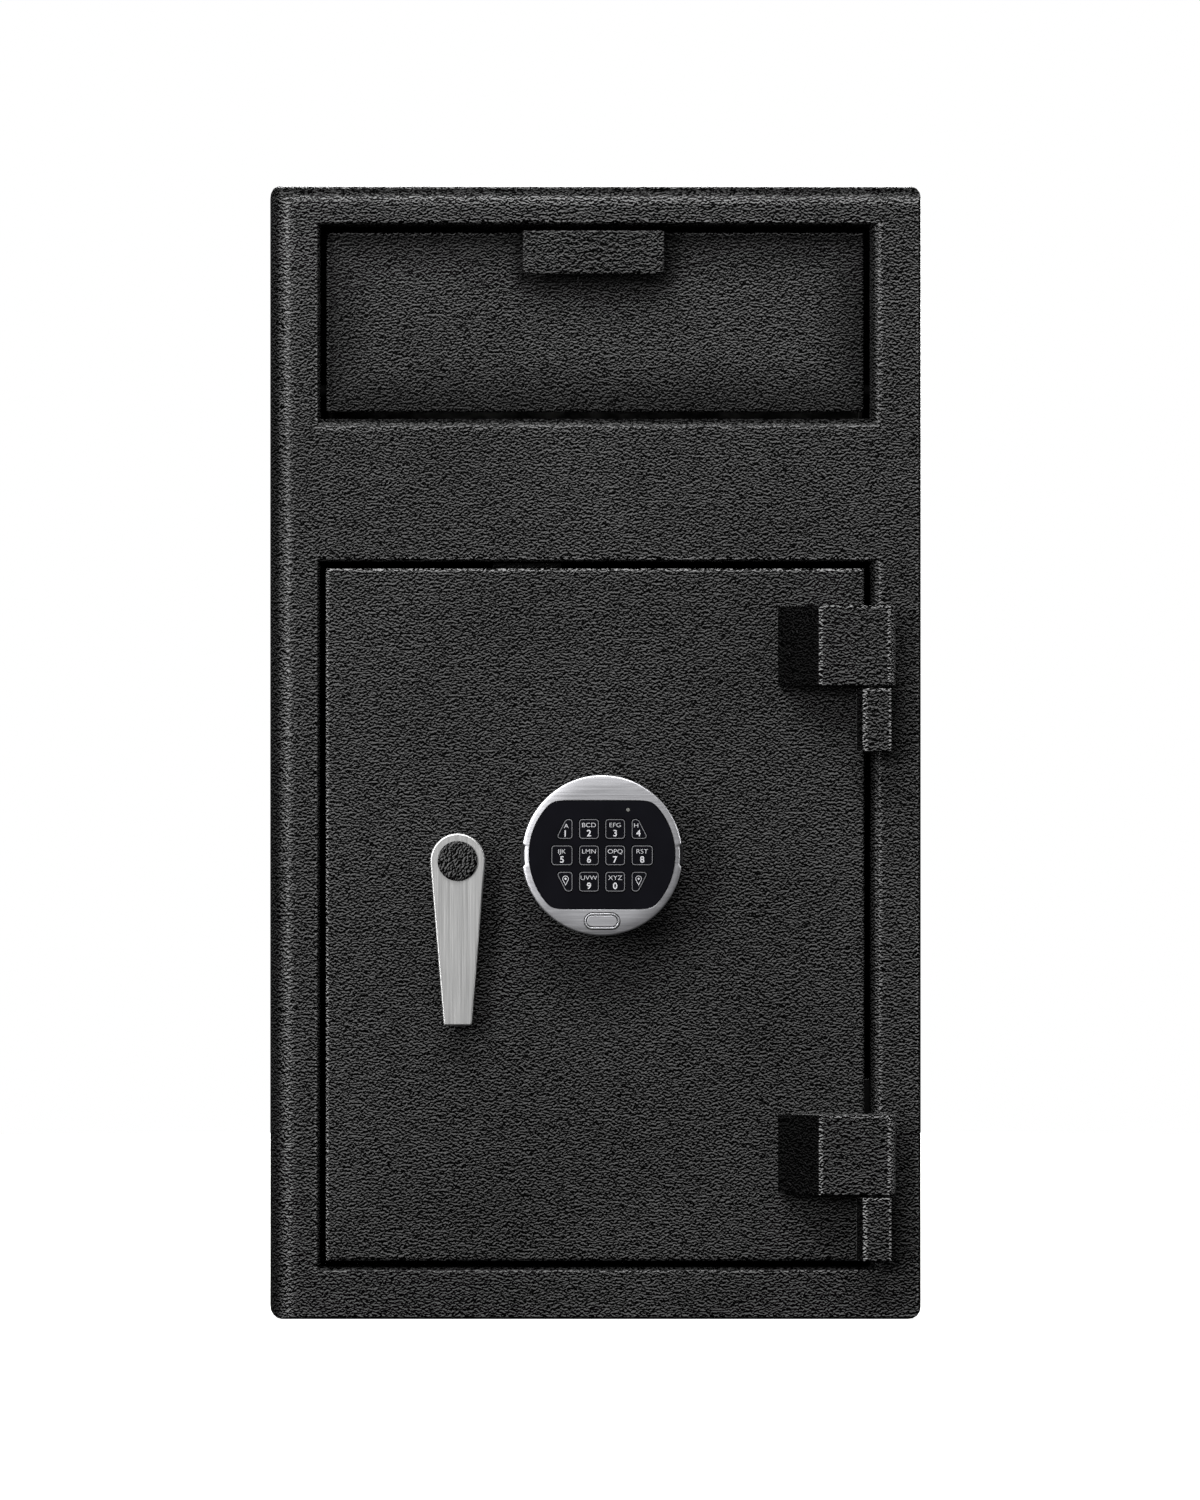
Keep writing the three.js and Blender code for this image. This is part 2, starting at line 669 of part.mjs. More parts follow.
// The door's half of a hinge: a block with one sloping side, rounded about the axis where it turns.
function leafSection() {
  const roundR = 12.5;
  const arc = [];
  for (let deg = -30; deg <= 90; deg += 15) {
    const angle = THREE.MathUtils.degToRad(deg);
    arc.push([roundR * Math.cos(angle), roundR * Math.sin(angle)]);
  }
  const back = FACE_Y - GAP - HINGE_Y;
  const corners = [
    [-55.8, back],
    [-32.4, -LEAF_PROUD, 1],
    [9.3, -LEAF_PROUD],
    ...arc,
    [-6, roundR],
    [-6, back],
  ];
  return outline(corners.map(([x, y, r]) => [HINGE_X + x, HINGE_Y + y, r]));
}

function makeLock() {
  const lock = new THREE.Group();
  const { width, thickness, length } = LOCK_BOLT;
  const boltX = about(LOCK_BOLT.x, width);
  const boltY = about(LOCK_BOLT.y, thickness);
  const wall = LOCK_WALL;
  add(lock, "lock_case", subtract(
    box(LOCK_X, LOCK_Y, LOCK_Z),
    box(
      [LOCK_X[0] + wall, LOCK_X[1] - wall],
      [LOCK_Y[0] + wall, LOCK_Y[1] + CUT],
      [LOCK_Z[0] + wall, LOCK_Z[1] - wall],
    ),
    box(
      [boltX[0] - GAP, boltX[1] + GAP],
      [boltY[0] - GAP, boltY[1] + GAP],
      [LOCK_Z[0] - CUT, LOCK_Z[0] + wall + CUT],
    ),
    extrudeY(circle(KEYPAD_X, KEYPAD_Z + CABLE_Z, 3), LOCK_Y[0] - CUT, LOCK_Y[0] + wall + CUT),
  ), zinc);
  add(lock, "lock_cover", box(LOCK_X, [LOCK_Y[1] + GAP, LOCK_Y[1] + GAP + THIN], LOCK_Z), zinc);
  add(lock, "lock_bolt", box(boltX, boltY, [LOCK_Z[0], LOCK_Z[0] + length]), steel);
  add(lock, "lock_solenoid", extrudeZ(
    circle(LOCK_BOLT.x, LOCK_BOLT.y, LOCK_BOLT.solenoidR),
    LOCK_Z[0] + length + CUT,
    LOCK_Z[1] - wall - GAP,
  ), steel);
  return lock;
}

// ---------- Bolt carriage ----------

function makeCarriage() {
  const carriage = new THREE.Group();
  const drop = Math.hypot(BOLT_THROW / 2, BOLT_THROW / 2);
  const slotHalf = DRIVE_PIN_R + DRIVE_SLACK;
  const slotX = HANDLE_X + BOLT_THROW / 2;
  const lugX = LOCK_BOLT.x + LUG_OFFSET;
  add(carriage, "bolt_carriage", subtract(
    join(
      box(CARRIAGE_X, CARRIAGE_Y, CARRIAGE_Z),
      box([CARRIAGE_X[1] - CUT, slotX + 14], ARM_Y, ARM_Z),
      box([slotX, lugX + LUG_W], ARM_Y, [ARM_Z[0], RAIL_TOP]),
      box(about(lugX, LUG_W), ARM_Y, [RAIL_TOP - CUT, RAIL_TOP + LUG_H]),
    ),
    box(
      about(slotX, 2 * slotHalf),
      [ARM_Y[0] - CUT, ARM_Y[1] + CUT],
      [HANDLE_Z - drop - slotHalf, HANDLE_Z - BOLT_THROW / 2 + slotHalf],
    ),
    ...boltHoles(CARRIAGE_X),
  ), zinc);
  for (const [place, z] of Object.entries(BOLT_HEIGHTS)) {
    const bolt = extrudeX(circle(BOLT_Y, z, BOLT_R, 20), BOLT_TIP_X, BOLT_INNER_X);
    add(carriage, `live_bolt_${place}`, bolt, steel);
  }
  return carriage;
}

// Holes for the three bolts through a plate across X.
function boltHoles([x0, x1]) {
  return Object.values(BOLT_HEIGHTS).map((z) => (
    extrudeX(circle(BOLT_Y, z, BOLT_R + GAP, 20), x0 - CUT, x1 + CUT)
  ));
}

// ---------- Handle ----------

function makeHandle() {
  const handle = new THREE.Group();
  handle.position.set(HANDLE_X, 0, HANDLE_Z);
  const leverFront = FACE_Y - LEVER_STANDOFF - LEVER_T;
  const leverBack = FACE_Y - LEVER_STANDOFF;

  // Hub and tip joined by the straight lines that touch the hub.
  const lean = Math.asin((HUB_R - LEVER_TIP_HALF_W) / LEVER_REACH);
  const profile = [];
  const steps = 20;
  for (let k = 0; k <= steps; k++) {
    const angle = -lean + ((Math.PI + 2 * lean) * k) / steps;
    profile.push([HUB_R * Math.cos(angle), HUB_R * Math.sin(angle)]);
  }
  profile.push([-LEVER_TIP_HALF_W, -LEVER_REACH, 1.5], [LEVER_TIP_HALF_W, -LEVER_REACH, 1.5]);
  add(handle, "lever_handle", subtract(
    extrudeY(outline(profile, 30), leverFront, leverBack),
    extrudeY(circle(0, 0, SPINDLE_R + GAP), leverFront - CUT, leverBack + CUT),
  ), satin);
  add(handle, "handle_cap", turnedY([
    [0, leverFront - 2.2],
    [CAP_R - 1.4, leverFront - 2.2],
    [CAP_R, leverFront - 1],
    [CAP_R, leverFront - GAP],
    [0, leverFront - GAP],
  ], 0, 0, 24), paint);

  // The spindle carries a cam whose pin drives the carriage through its slot.
  const pinAt = BOLT_THROW / 2;
  add(handle, "handle_spindle", join(
    extrudeY(circle(0, 0, SPINDLE_R), leverFront + 1, CAM_Y[0] + CUT),
    extrudeY(circle(0, 0, CAM_R, 24), ...CAM_Y),
    extrudeY(circle(pinAt, -pinAt, DRIVE_PIN_R, 12), CAM_Y[1] - CUT, ARM_Y[1] + 2),
  ), steel);
  return handle;
}

// ---------- Keypad, built about its own centre with the door face at y = 0 ----------

function keyOutlines() {
  const half = KEY_H / 2;
  const innerX = [1.9, 13.3];
  const outerX = [17.2, 29.4];
  const slantTip = 21.1; // far corner of a slanted key, on its short side
  const slantBase = 26.9;
  const r = 1.6;
  const keys = [];
  for (const [row, z] of [["top", KEY_PITCH], ["middle", 0], ["bottom", -KEY_PITCH]]) {
    const away = row === "bottom" ? -half : half;
    for (const sign of [-1, 1]) {
      const side = sign < 0 ? "left" : "right";
      const inner = [
        [sign * innerX[0], z - half, r],
        [sign * innerX[1], z - half, r],
        [sign * innerX[1], z + half, r],
        [sign * innerX[0], z + half, r],
      ];
      const slanted = [
        [sign * outerX[0], z - away, r],
        [sign * slantBase, z - away, r],
        [sign * slantTip, z + away, r],
        [sign * outerX[0], z + away, r],
      ];
      const square = [
        [sign * outerX[0], z - half, r],
        [sign * outerX[1], z - half, r],
        [sign * outerX[1], z + half, r],
        [sign * outerX[0], z + half, r],
      ];
      keys.push({ row, column: `${side}_inner`, corners: inner });
      keys.push({ row, column: `${side}_outer`, corners: row === "middle" ? square : slanted });
    }
  }
  return keys;
}

const KEY_NAMES = {
  top: { left_outer: "1", left_inner: "2", right_inner: "3", right_outer: "4" },
  middle: { left_outer: "5", left_inner: "6", right_inner: "7", right_outer: "8" },
  bottom: { left_outer: "left", left_inner: "9", right_inner: "0", right_outer: "right" },
};

function makeKeypad() {
  const keypad = new THREE.Group();
  keypad.position.set(KEYPAD_X, FACE_Y - GAP, KEYPAD_Z);
  const front = -KEYPAD_FRONT;
  const baseFront = -11;
  const wall = 2.5;
  const rim = BEZEL_R - wall;
  const baseR = BEZEL_R - 1.2;
  const tabHalf = 6.3;
  const tabTop = 25; // how far the notches reach ahead of the door face

  // Round base, open to the front, with a tab at each side that shows in the bezel's notches.
  const dish = turnedY([
    [0, 0],
    [baseR, 0],
    [baseR, baseFront],
    [baseR - wall, baseFront],
    [baseR - wall, -wall],
    [0, -wall],
  ], 0, 0, 40);
  const tabs = [-1, 1].map((sign) => (
    box(onSide(sign, rim - 1, baseR), [baseFront - 14, baseFront + CUT], [-tabHalf, tabHalf])
  ));
  add(keypad, "keypad_base", subtract(
    join(dish, ...tabs),
    extrudeY(circle(0, CABLE_Z, 3), -wall - CUT, CUT),
  ), blackPlastic);

  // Turned bezel: a skirt that curves into a flat front, cut open for the face and the side tabs.
  const shoulder = [];
  const shoulderR = 5;
  for (let deg = 0; deg <= 90; deg += 22.5) {
    const angle = THREE.MathUtils.degToRad(deg);
    shoulder.push([
      BEZEL_R - shoulderR + shoulderR * Math.cos(angle),
      front + shoulderR - shoulderR * Math.sin(angle),
    ]);
  }
  const badgeOutline = (extra) => rectangle(
    -BADGE.halfW - extra,
    BADGE.halfW + extra,
    BADGE.z - BADGE.halfH - extra,
    BADGE.z + BADGE.halfH + extra,
    BADGE.halfH - 0.1 + extra,
  );
  const notches = [-1, 1].map((sign) => box(
    onSide(sign, rim - 2, BEZEL_R + CUT),
    [-tabTop - 2 * GAP, 0],
    [-tabHalf - GAP, tabHalf + GAP],
  ));
  add(keypad, "keypad_bezel", subtract(
    turnedY([
      [0, front + wall],
      [rim - 3, front + wall],
      [rim, front + wall + 3],
      [rim, baseFront - GAP],
      [BEZEL_R, baseFront - GAP],
      ...shoulder,
      [0, front],
    ], 0, 0, 48),
    extrudeY(faceShape(0), front - CUT, front + wall + CUT),
    extrudeY(badgeOutline(GAP), front - CUT, front + wall + CUT),
    ...notches,
  ), satin);
  add(keypad, "keypad_badge", extrudeY(badgeOutline(0), front - 0.3, front + 1.5), satin);

  const keys = keyOutlines();
  const plate = faceShape(GAP);
  for (const { corners } of keys) plate.holes.push(grown(corners, GAP));
  plate.holes.push(circle(LED.x, LED.z, LED.r + GAP, 10));
  const plateFront = front + 0.5;
  add(keypad, "keypad_face", extrudeY(plate, plateFront, front + wall), gloss);
  const lensShape = circle(LED.x, LED.z, LED.r, 10);
  add(keypad, "led_lens", extrudeY(lensShape, plateFront - 0.2, front + wall), lens);
  for (const { row, column, corners } of keys) {
    const name = `key_${KEY_NAMES[row][column]}`;
    const key = extrudeY(outline(corners, 45), plateFront - KEY_PROUD, front + wall + 2);
    add(keypad, name, key, keyPlastic);
  }

  const batteryY = [-wall - GAP - BATTERY.depth, -wall - GAP];
  add(keypad, "battery", box(about(0, BATTERY.width), batteryY, about(-11, BATTERY.height)), blackPlastic);
  const cable = circle(0, CABLE_Z, 2, 8);
  add(keypad, "keypad_cable", extrudeY(cable, -9, LOCK_Y[0] - FACE_Y + 9), blackPlastic);
  return keypad;
}

// The face is a disc cut flat above and below, with the corners eased.
function faceShape(shrink) {
  const radius = FACE_R - shrink;
  const arcBetween = (fromZ, toZ, sign) => {
    const from = Math.asin(fromZ / radius);
    const to = Math.asin(toZ / radius);
    const arc = [];
    for (let k = 1; k < 8; k++) {
      const angle = from + ((to - from) * k) / 8;
      arc.push([sign * radius * Math.cos(angle), radius * Math.sin(angle)]);
    }
    return arc;
  };
  const top = FACE_TOP - shrink;
  const bottom = FACE_BOTTOM + shrink;
  const cornerX = (z) => Math.sqrt(radius ** 2 - z ** 2);
  return outline([
    [-cornerX(bottom), bottom, 3],
    [cornerX(bottom), bottom, 3],
    ...arcBetween(bottom, top, 1),
    [cornerX(top), top, 3],
    [-cornerX(top), top, 3],
    ...arcBetween(top, bottom, -1),
  ], 30);
}

// A convex outline moved outwards by an even margin.
function grown(corners, margin) {
  const centre = corners.reduce((sum, [x, y]) => [sum[0] + x / 4, sum[1] + y / 4], [0, 0]);
  return outline(corners.map(([x, y, r]) => [
    x + margin * 1.2 * Math.sign(x - centre[0]),
    y + margin * 1.2 * Math.sign(y - centre[1]),
    r,
  ]), 45);
}

// ---------- The safe ----------

const safe = new THREE.Group();
safe.add(makeBody(), makeHopper(), makeDoor(), makeCarriage(), makeHandle());

export default safe;
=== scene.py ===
"""Looks for the depository safe: materials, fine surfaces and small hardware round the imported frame.

Lengths are in metres. The safe's front looks along -Y.
"""
import math

import bmesh
import bpy
from mathutils import Matrix, Vector, geometry


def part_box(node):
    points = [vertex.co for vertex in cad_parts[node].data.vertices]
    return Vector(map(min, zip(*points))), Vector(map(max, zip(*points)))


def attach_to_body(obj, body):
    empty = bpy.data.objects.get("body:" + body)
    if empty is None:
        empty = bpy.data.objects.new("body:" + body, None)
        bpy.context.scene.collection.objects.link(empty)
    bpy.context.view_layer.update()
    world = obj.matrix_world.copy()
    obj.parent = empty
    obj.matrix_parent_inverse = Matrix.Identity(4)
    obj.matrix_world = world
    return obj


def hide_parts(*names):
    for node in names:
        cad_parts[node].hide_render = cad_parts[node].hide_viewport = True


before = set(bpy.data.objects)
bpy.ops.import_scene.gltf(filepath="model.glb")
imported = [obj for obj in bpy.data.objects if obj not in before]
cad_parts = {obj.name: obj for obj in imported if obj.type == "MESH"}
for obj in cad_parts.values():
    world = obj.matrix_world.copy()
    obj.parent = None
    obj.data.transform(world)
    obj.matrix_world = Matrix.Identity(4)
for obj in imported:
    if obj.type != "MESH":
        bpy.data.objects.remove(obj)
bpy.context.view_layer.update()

MM = 0.001

# ---------- Driving values ----------

# Camera
BODY_SHARE_OF_PICTURE = 0.5431  # body width over picture width
PICTURE_ASPECT = 1200 / 1500
AIM_X = 0.0029
AIM_Z = 0.33285

# Paint
RIDGE_SCALE = (650, 650, 830)  # wrinkles per metre
# the ridges' upper sides are painted paler and their lower sides darker, as painted light from above
RIDGE_LIFT = (0, 0, 0.3)  # from a ridge to the place just above it, in wrinkles
# greys from dark to pale over the painted light on the wrinkles, with a faint random cloudiness
PAINT_GREYS = ((0.34, 0.0001), (0.52, 0.0003), (0.7, 0.0052), (1.0, 0.078))
# painted highlight and shade on rounded edges, by how squarely they face the front
BEND_LIGHT_TONES = ((0, 1), (0.3, 0.35), (0.7, 0.4), (0.86, 1.3), (0.94, 2.2), (0.98, 1.7), (1, 1))
RECESS_SHADE_DEPTH, RECESS_SHADE_TONE = 32 * MM, 0.32  # how far the painted shade in a recess reaches inwards, and its tone at the edge
HIGHLIGHT_FROM, HIGHLIGHT_TO, HIGHLIGHT_TONE = 1.0 * MM, 1.9 * MM, 3.4  # where the painted highlight along an edge fades out, and its tone
SHADE_REACH, SHADE_TONE = 9 * MM, 0.25  # painted shadow round a block that stands on the surface
NO_HIGHLIGHT = 1.0  # a distance that puts an edge's painted highlight out of reach

# Body and door
BODY_CORNER = 7.4 * MM  # corner radius of the body seen from the front
GUIDE_FOOT = 3.1 * MM  # top of a guide's foot above the back of the door

# Keypad bezel
OPENING_EASE = 26  # higher is a sharper corner in the bezel's opening
NOTCH_HALF, NOTCH_DEPTH, NOTCH_SLANT = 6.75 * MM, 1.3 * MM, 1.2 * MM

# Key print, in millimetres from the key's or the keypad's centre
CAPITAL_HEIGHT = 0.682  # of the built-in font, at size 1
PRINT_THICKNESS = 0.00006
KEY_LETTERS = {
    "1": "A", "2": "BCD", "3": "EFG", "4": "H", "5": "IJK",
    "6": "LMN", "7": "OPQ", "8": "RST", "9": "UVW", "0": "XYZ",
}
LETTER_RISE, LETTER_HEIGHT = 2.3, 2.5
DIGIT_DROP, DIGIT_HEIGHT = 2.4, 3.6
CORNER_PRINT = {"1": ((-20.8, 17.1), (-21.4, 12.7)), "4": ((19.8, 17.4), (21.1, 12.9))}
PIN_AT = {"left": (-21.2, -13.6), "right": (21.2, -13.6)}

# ---------- Places taken from the frame ----------

FACE_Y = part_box("front_frame")[0].y
BODY_LOW, BODY_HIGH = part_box("body_wrap")
BEZEL_LOW, BEZEL_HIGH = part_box("keypad_bezel")
KEYPAD_X = (BEZEL_LOW.x + BEZEL_HIGH.x) / 2
KEYPAD_Z = (BEZEL_LOW.z + BEZEL_HIGH.z) / 2
KEYPAD_R = (BEZEL_HIGH.x - BEZEL_LOW.x) / 2


# ---------- Camera, lights and floor ----------

def make_camera():
    data = bpy.data.cameras.new("camera")
    data.lens = 200
    data.sensor_width = 36
    picture_height = (BODY_HIGH.x - BODY_LOW.x) / BODY_SHARE_OF_PICTURE / PICTURE_ASPECT
    distance = picture_height * data.lens / data.sensor_width
    camera = bpy.data.objects.new("camera", data)
    camera.location = (AIM_X, FACE_Y - distance, AIM_Z)
    camera.rotation_euler = (math.radians(90), 0, 0)
    data.clip_start = 0.1
    data.clip_end = 100
    bpy.context.scene.collection.objects.link(camera)
    bpy.context.scene.camera = camera


def area_light(name, place, aim, size, radiance):
    """A soft box whose face has the given brightness, whatever its size."""
    data = bpy.data.lights.new(name, "AREA")
    data.shape = "RECTANGLE"
    data.size, data.size_y = size
    data.energy = radiance * math.pi * size[0] * size[1]
    light = bpy.data.objects.new(name, data)
    light.location = place
    light.rotation_euler = (Vector(aim) - Vector(place)).to_track_quat("-Z", "Y").to_euler()
    light.visible_camera = False
    bpy.context.scene.collection.objects.link(light)


def make_world():
    world = bpy.data.worlds.new("studio")
    world.use_nodes = True
    nodes, links = world.node_tree.nodes, world.node_tree.links
    background = nodes["Background"]
    background.inputs["Color"].default_value = (1, 1, 1, 1)
    rays = nodes.new("ShaderNodeLightPath")
    strength = nodes.new("ShaderNodeMapRange")
    strength.inputs["To Min"].default_value = 0.05
    strength.inputs["To Max"].default_value = 1.0
    links.new(rays.outputs["Is Camera Ray"], strength.inputs["Value"])
    links.new(strength.outputs["Result"], background.inputs["Strength"])
    bpy.context.scene.world = world


def make_stage():
    material = bpy.data.materials.new("pale_floor")
    material.use_nodes = True
    shader = material.node_tree.nodes["Principled BSDF"]
    shader.inputs["Base Color"].default_value = (0.9, 0.9, 0.9, 1)
    shader.inputs["Roughness"].default_value = 0.9
    shader.inputs["Specular IOR Level"].default_value = 0.1
    shader.inputs["Emission Color"].default_value = (1, 1, 1, 1)
    shader.inputs["Emission Strength"].default_value = 0.9
    bm = bmesh.new()
    bmesh.ops.create_circle(bm, cap_ends=True, segments=96, radius=2.2)
    bmesh.ops.translate(bm, verts=bm.verts, vec=(0, 0, -0.0004))
    floor = object_from(bm, "studio_floor", material)
    floor.visible_diffuse = False
    floor.visible_glossy = False


def make_lights():
    centre = Vector((0, FACE_Y, 0.42))
    area_light("key", (-0.2, -1.4, 2.1), centre, (2.0, 0.9), 12.5)
    area_light("left", (-1.7, -2.4, 0.95), centre, (0.8, 1.5), 18)
    area_light("right", (2.5, -1.3, 0.9), centre, (0.8, 1.4), 6)
    area_light("front", (0, -7.0, 1.2), centre, (4.4, 3.0), 0.41)
    area_light("back", (0.6, 3.2, 1.6), (0, 0, 0.3), (2.0, 2.0), 11)


# ---------- Mesh helpers ----------

def object_from(bm, name, material, smooth=True):
    bmesh.ops.recalc_face_normals(bm, faces=bm.faces)
    mesh = bpy.data.meshes.new(name)
    bm.to_mesh(mesh)
    bm.free()
    if smooth:
        mesh.polygons.foreach_set("use_smooth", [True] * len(mesh.polygons))
        mesh.set_sharp_from_angle(angle=math.radians(35))
    piece = bpy.data.objects.new(name, mesh)
    piece.data.materials.append(material)
    bpy.context.scene.collection.objects.link(piece)
    return piece


def bevel(piece, width, segments=3, angle=35):
    rounding = piece.modifiers.new("edge", "BEVEL")
    rounding.width = width
    rounding.segments = segments
    rounding.limit_method = "ANGLE"
    rounding.angle_limit = math.radians(angle)
    rounding.harden_normals = True
    return piece


def arc(centre, radius, start, end, steps):
    """Points on a circle, from one angle to another in degrees."""
    points = []
    for k in range(steps + 1):
        angle = math.radians(start + (end - start) * k / steps)
        points.append((centre[0] + radius * math.cos(angle), centre[1] + radius * math.sin(angle)))
    return points


def filleted(corners, steps=6):
    """A closed outline through corners (x, y, radius), each rounded by an arc."""
    points = []
    for i, (x, y, radius) in enumerate(corners):
        corner = Vector((x, y))
        before = (Vector(corners[i - 1][:2]) - corner).normalized()
        after = (Vector(corners[(i + 1) % len(corners)][:2]) - corner).normalized()
        half = before.angle(after) / 2
        centre = corner + (before + after).normalized() * radius / math.sin(half)
        first = corner + before * radius / math.tan(half) - centre
        last = corner + after * radius / math.tan(half) - centre
        start = math.degrees(math.atan2(first.y, first.x))
        end = math.degrees(math.atan2(last.y, last.x))
        turn = (end - start + 180) % 360 - 180
        points += arc(centre, radius, start, start + turn, steps)
    return points


def prism_y(name, outline, y0, y1, material):
    """An outline in X and Z, drawn out along Y."""
    bm = bmesh.new()
    face = bm.faces.new([bm.verts.new((x, y0, z)) for x, z in outline])
    drawn = bmesh.ops.extrude_face_region(bm, geom=[face])
    moved = [g for g in drawn["geom"] if isinstance(g, bmesh.types.BMVert)]
    bmesh.ops.translate(bm, verts=moved, vec=(0, y1 - y0, 0))
    return object_from(bm, name, material)


def add_band(bm, outer, inner, y0, y1):
    """A closed flat ring between two outlines with the same number of points."""
    loops = [[bm.verts.new((p[0], y, p[1])) for p in loop] for loop, y in
             ((outer, y0), (outer, y1), (inner, y1), (inner, y0))]
    for one, two in zip(loops, loops[1:] + loops[:1]):
        for k in range(len(one)):
            n = (k + 1) % len(one)
            bm.faces.new((one[k], one[n], two[n], two[k]))


def grown_box(low, high, grow, radius, steps=5):
    """The rounded outline of a box seen from the front, grown by a margin."""
    x0, x1, z0, z1 = low.x - grow, high.x + grow, low.z - grow, high.z + grow
    r = radius + grow
    return filleted([(x0, z0, r), (x1, z0, r), (x1, z1, r), (x0, z1, r)], steps)


def add_screw(bm, place, radius, segments=36):
    """A button-head screw with a hexagonal socket, standing out of a surface to the back."""
    turn = Vector((0, 0, 1)).rotation_difference(Vector((0, 1, 0))).to_matrix()
    socket, depth = 0.45 * radius, 0.35 * radius
    profile = [(radius, -0.1 * radius), (radius, 0.12 * radius), (0.88 * radius, 0.4 * radius),
               (0.62 * radius, 0.58 * radius), (socket, 0.62 * radius), (socket, 0.62 * radius - depth)]
    rings = []
    for row, (reach, height) in enumerate(profile):
        ring = []
        for k in range(segments):
            angle = 2 * math.pi * k / segments
            corner = math.cos(math.pi / 6) / math.cos((angle % (math.pi / 3)) - math.pi / 6)
            along = reach * (corner if row > 3 else 1)
            point = Vector((along * math.cos(angle), along * math.sin(angle), height))
            ring.append(bm.verts.new(turn @ point + Vector(place)))
        rings.append(ring)
    for one, two in zip(rings, rings[1:]):
        for k in range(segments):
            n = (k + 1) % segments
            bm.faces.new((one[k], one[n], two[n], two[k]))
    bm.faces.new(rings[-1])
    bm.faces.new(rings[0])


def refine(node, material, edge=0.0004, segments=2):
    """A CAD node kept as it is, with its edges eased and a finished material."""
    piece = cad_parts[node]
    if "custom_normal" in piece.data.attributes:
        piece.data.attributes.remove(piece.data.attributes["custom_normal"])
    piece.data.polygons.foreach_set("use_smooth", [True] * len(piece.data.polygons))
    weld = piece.modifiers.new("weld", "WELD")
    weld.merge_threshold = 5e-6
    if edge:
        merge = piece.modifiers.new("merge", "DECIMATE")
        merge.decimate_type = "DISSOLVE"
        merge.angle_limit = math.radians(0.5)
        bevel(piece, edge, segments, angle=38)
    normals = piece.modifiers.new("normals", "WEIGHTED_NORMAL")
    normals.keep_sharp = True
    piece.data.materials.clear()
    piece.data.materials.append(material)
    return piece


def attach(piece, body, stands_for=None):
    """The piece moves with a CAD body and may stand for a CAD node, which is then hidden."""
    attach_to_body(piece, body)
    if stands_for:
        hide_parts(stands_for)
    return piece


# ---------- Materials ----------

